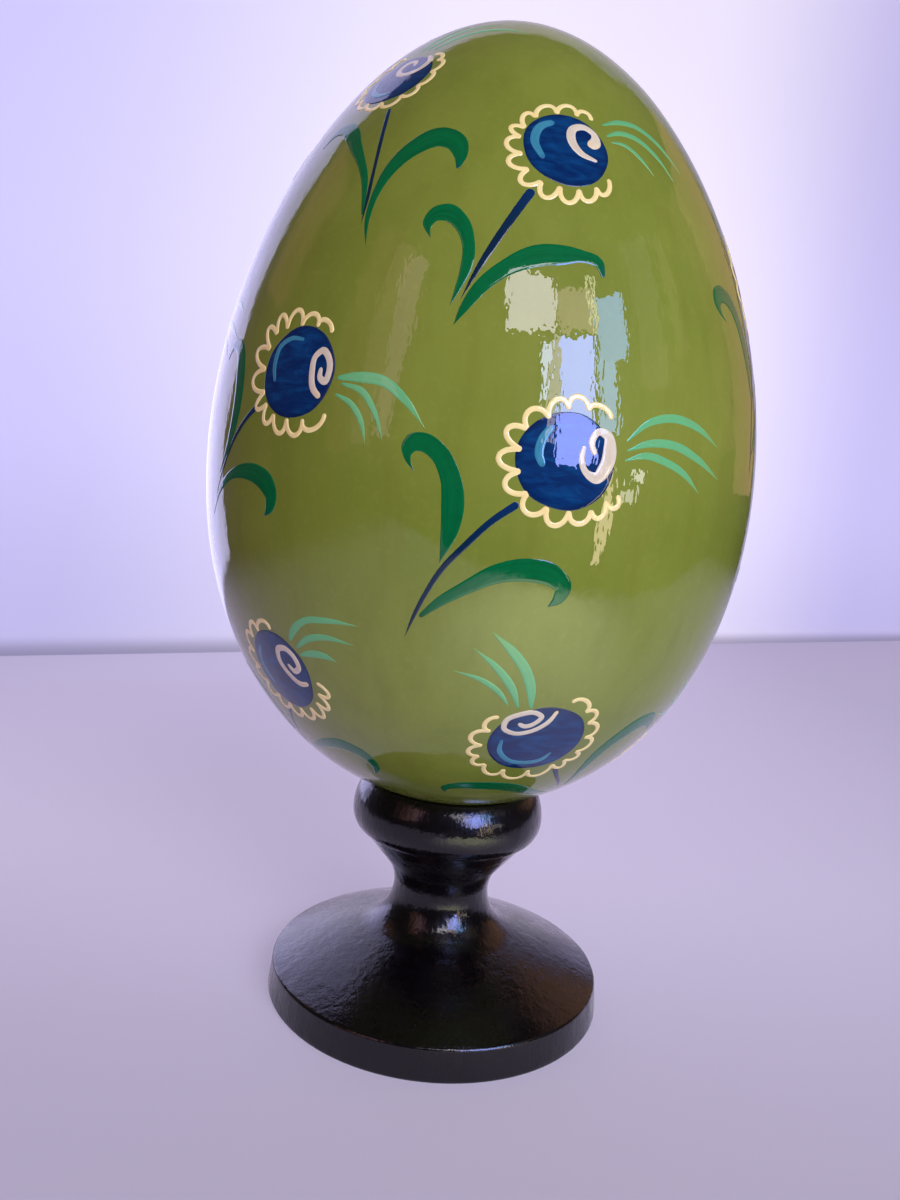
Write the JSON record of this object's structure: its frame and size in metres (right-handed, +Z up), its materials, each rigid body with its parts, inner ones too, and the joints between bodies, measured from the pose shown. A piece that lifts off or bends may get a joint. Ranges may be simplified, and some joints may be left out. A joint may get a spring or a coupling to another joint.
{
  "type": "painted wooden display egg on stand",
  "caption": "Lacquered wooden egg painted with stylised cornflowers, lifting out of the cup of a small turned display stand.",
  "frame": {"origin": "centre of the stand's foot, on the surface it stands on", "axes": "+Z up along the shared axis of stand and egg; -Y faces the viewer"},
  "size_m": [0.078, 0.078, 0.1409],
  "materials": {
    "egg_lacquer": "gloss",
    "stand_lacquer": "gloss",
    "paint_navy": "gloss",
    "paint_teal": "gloss",
    "paint_cream": "gloss",
    "paint_mint": "gloss",
    "paint_green": "gloss",
    "paint_stem": "gloss"
  },
  "bodies": {
    "stand": {"stand": "stand_lacquer"},
    "egg": {"egg": "egg_lacquer"}
  },
  "joints": [
    {"name": "egg_lift", "type": "slide", "parent": "stand", "child": "egg", "axis": [0, 0, 1], "range_m": [0, 0.05]}
  ]
}
